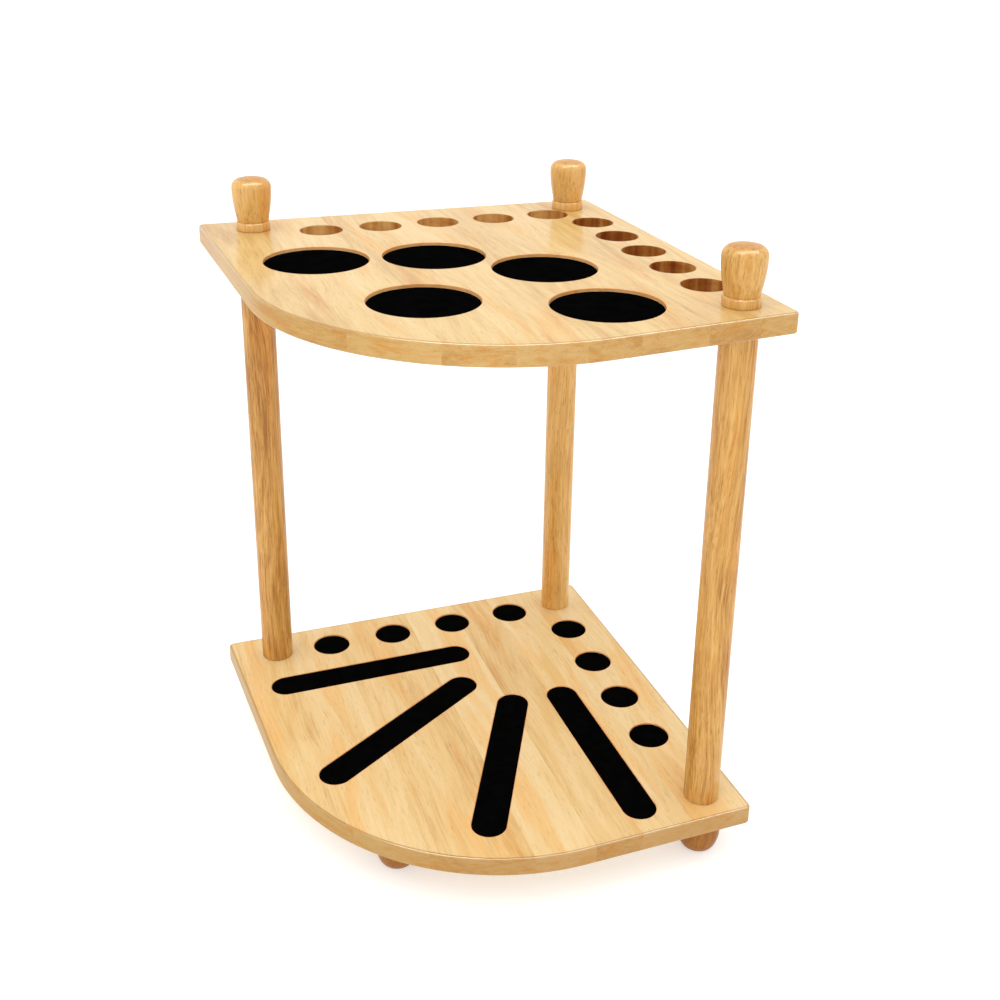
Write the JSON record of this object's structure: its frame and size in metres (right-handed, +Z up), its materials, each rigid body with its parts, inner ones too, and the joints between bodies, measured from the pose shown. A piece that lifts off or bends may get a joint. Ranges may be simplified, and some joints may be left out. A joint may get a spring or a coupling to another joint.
{
  "type": "corner floor rack",
  "caption": "Wooden corner floor rack: two boards with a rounded front corner on round posts, rod holes and felt-lined pockets above, lined rod seats and slots below.",
  "frame": {"origin": "on the floor, under the centre of the rack's bounding box", "axes": "+Z up; +X and +Y point at the two walls of the room corner, so the rounded corner faces -X -Y"},
  "size_m": [0.41, 0.441, 0.579],
  "materials": {
    "board": "edge-glued staves, clear satin lacquer",
    "turned": "turned, clear gloss lacquer",
    "foot": "turned, clear gloss lacquer",
    "felt": "matte black felt",
    "steel": "zinc plated",
    "brass": "plain"
  },
  "bodies": {
    "root": {"lower_board": "board", "upper_board": "board", "left_post": "turned", "left_finial": "turned", "left_foot": "foot", "left_upper_insert": "brass", "left_lower_insert": "brass", "left_upper_stud": "steel", "left_lower_stud": "steel", "back_post": "turned", "back_finial": "turned", "back_foot": "foot", "back_upper_insert": "brass", "back_lower_insert": "brass", "back_upper_stud": "steel", "back_lower_stud": "steel", "right_post": "turned", "right_finial": "turned", "right_foot": "foot", "right_upper_insert": "brass", "right_lower_insert": "brass", "right_upper_stud": "steel", "right_lower_stud": "steel", "front_foot": "foot", "front_insert": "brass", "front_stud": "steel", "pocket_felt_1": "felt", "pocket_felt_2": "felt", "pocket_felt_3": "felt", "pocket_felt_4": "felt", "pocket_felt_5": "felt", "left_seat_felt_1": "felt", "left_seat_felt_2": "felt", "left_seat_felt_3": "felt", "left_seat_felt_4": "felt", "right_seat_felt_1": "felt", "right_seat_felt_2": "felt", "right_seat_felt_3": "felt", "right_seat_felt_4": "felt", "slot_felt_1": "felt", "slot_felt_2": "felt", "slot_felt_3": "felt", "slot_felt_4": "felt"}
  },
  "joints": []
}
